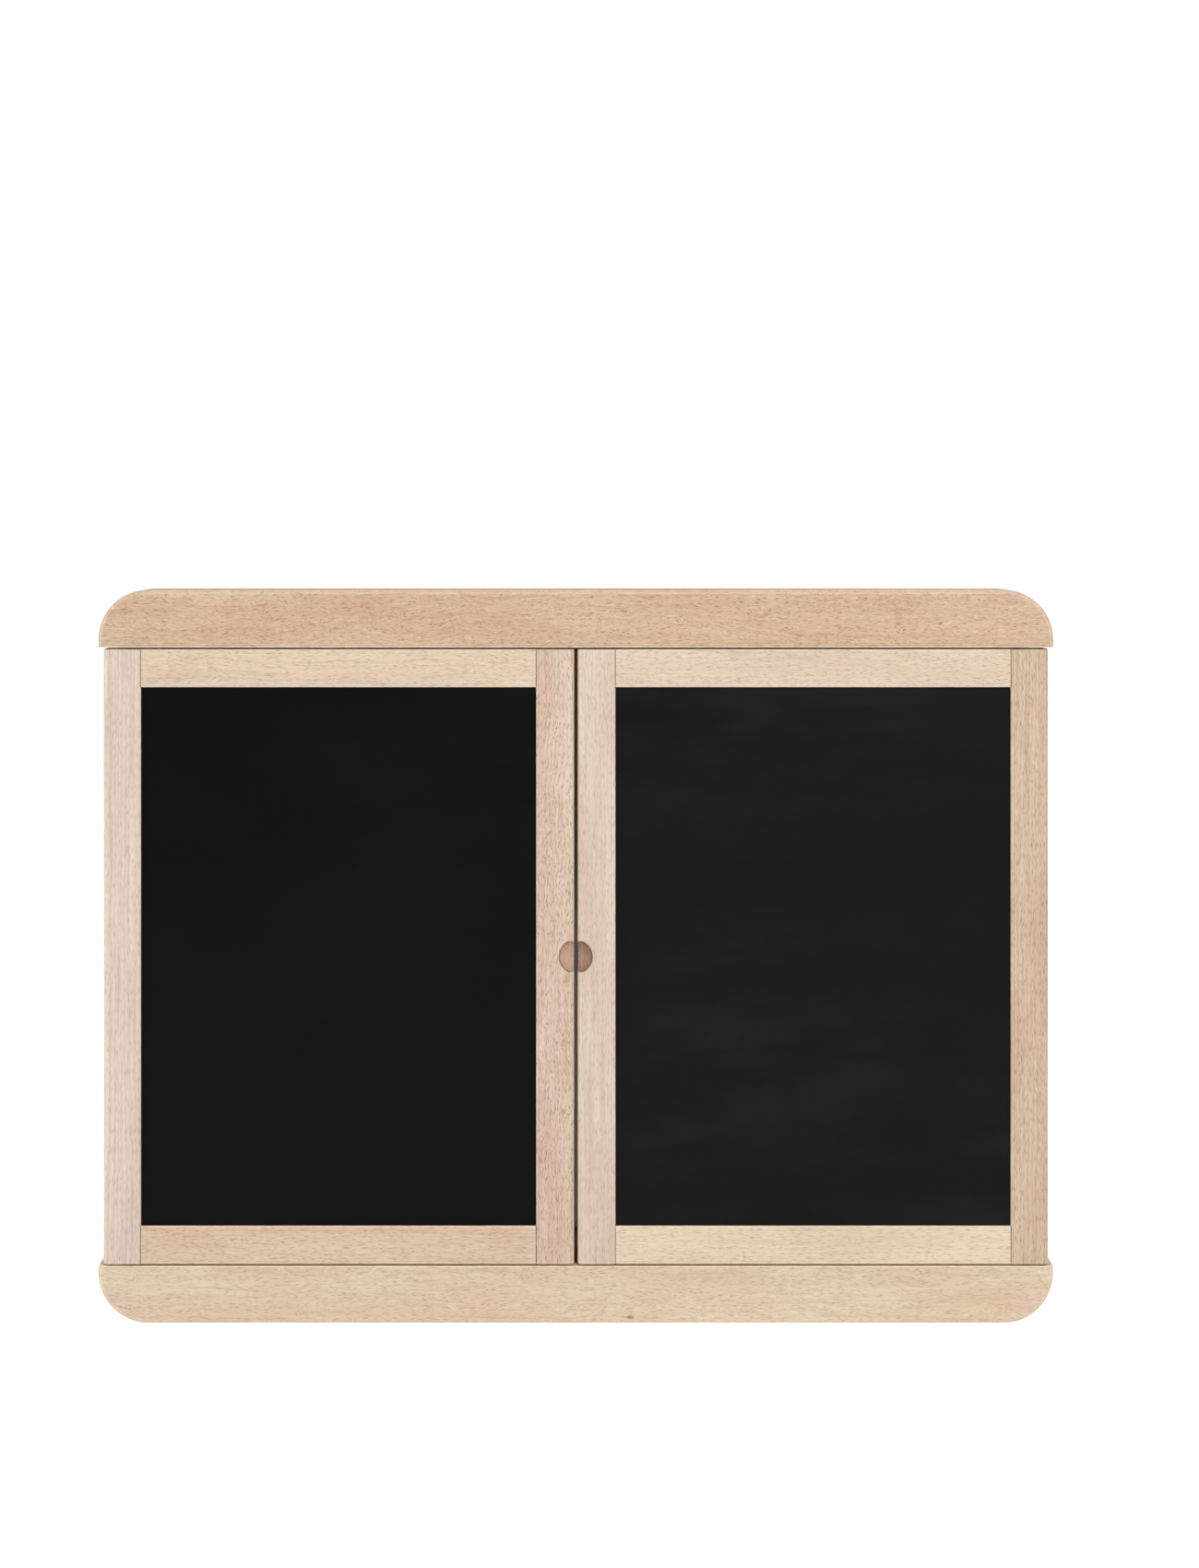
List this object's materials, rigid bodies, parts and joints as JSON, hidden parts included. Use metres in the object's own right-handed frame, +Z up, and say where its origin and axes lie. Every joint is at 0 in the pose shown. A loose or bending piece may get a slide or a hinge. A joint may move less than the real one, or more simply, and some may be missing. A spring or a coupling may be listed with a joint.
{
  "type": "kids drawing board",
  "caption": "Two-door kids' drawing board in a beech frame: chalkboards outside, magnetic whiteboards inside, doors on pivot pins between rounded rails.",
  "frame": {"origin": "middle of the board's footprint, on the surface that the bottom rail stands on", "axes": "+Z up, +X to the right along the rails, the doors' chalkboards face -Y and the wall side faces +Y"},
  "size_m": [0.58, 0.04, 0.445],
  "materials": {
    "beech_top_rail": "planed beech, warm pinkish tone, thin matt oil",
    "beech_bottom_rail": "planed beech, pale, thin matt oil",
    "beech_door_stile": "planed beech, pale, upright grain, matt",
    "beech_door_rail": "planed beech, pale, level grain, matt",
    "beech_back_frame": "planed beech, plain",
    "beech_dowel": "fluted beech dowel, raw",
    "chalkboard_paint": "matt black chalkboard paint on hardboard",
    "white_lacquered_steel": "glossy white dry-wipe lacquer on thin steel",
    "fibreboard": "raw medium density fibreboard",
    "zinc_plated_steel": "bright zinc plating",
    "nickel_plated_magnet": "nickel plating",
    "nylon": "natural nylon",
    "grey_rubber": "soft dark grey rubber"
  },
  "bodies": {
    "board_frame": {"top_rail": "beech_top_rail", "bottom_rail": "beech_bottom_rail", "back_stile_left": "beech_back_frame", "back_stile_right": "beech_back_frame", "centre_whiteboard": "white_lacquered_steel", "centre_board_core": "fibreboard", "frame_dowels": "beech_dowel", "pivot_pins": "zinc_plated_steel", "pivot_washers": "nylon", "top_stop_block": "beech_back_frame", "bottom_stop_block": "beech_back_frame", "stop_block_screws": "zinc_plated_steel", "catch_magnets": "nickel_plated_magnet", "wall_hanger_left": "zinc_plated_steel", "wall_hanger_right": "zinc_plated_steel", "hanger_screws": "zinc_plated_steel", "wall_bumpers": "grey_rubber"},
    "left_door": {"left_outer_stile": "beech_door_stile", "left_inner_stile": "beech_door_stile", "left_door_top_rail": "beech_door_rail", "left_door_bottom_rail": "beech_door_rail", "left_panel_core": "fibreboard", "left_chalkboard": "chalkboard_paint", "left_whiteboard": "white_lacquered_steel", "left_door_dowels": "beech_dowel", "left_pivot_bushes": "nylon", "left_strike_plates": "zinc_plated_steel"},
    "right_door": {"right_outer_stile": "beech_door_stile", "right_inner_stile": "beech_door_stile", "right_door_top_rail": "beech_door_rail", "right_door_bottom_rail": "beech_door_rail", "right_panel_core": "fibreboard", "right_chalkboard": "chalkboard_paint", "right_whiteboard": "white_lacquered_steel", "right_door_dowels": "beech_dowel", "right_pivot_bushes": "nylon", "right_strike_plates": "zinc_plated_steel"}
  },
  "joints": [
    {"name": "left_door_hinge", "type": "hinge", "parent": "board_frame", "child": "left_door", "pos_m": [-0.279, -0.01154, 0.2225], "axis": [0, 0, -1], "range_deg": [0, 180]},
    {"name": "right_door_hinge", "type": "hinge", "parent": "board_frame", "child": "right_door", "pos_m": [0.279, -0.01154, 0.2225], "axis": [0, 0, 1], "range_deg": [0, 180]}
  ]
}
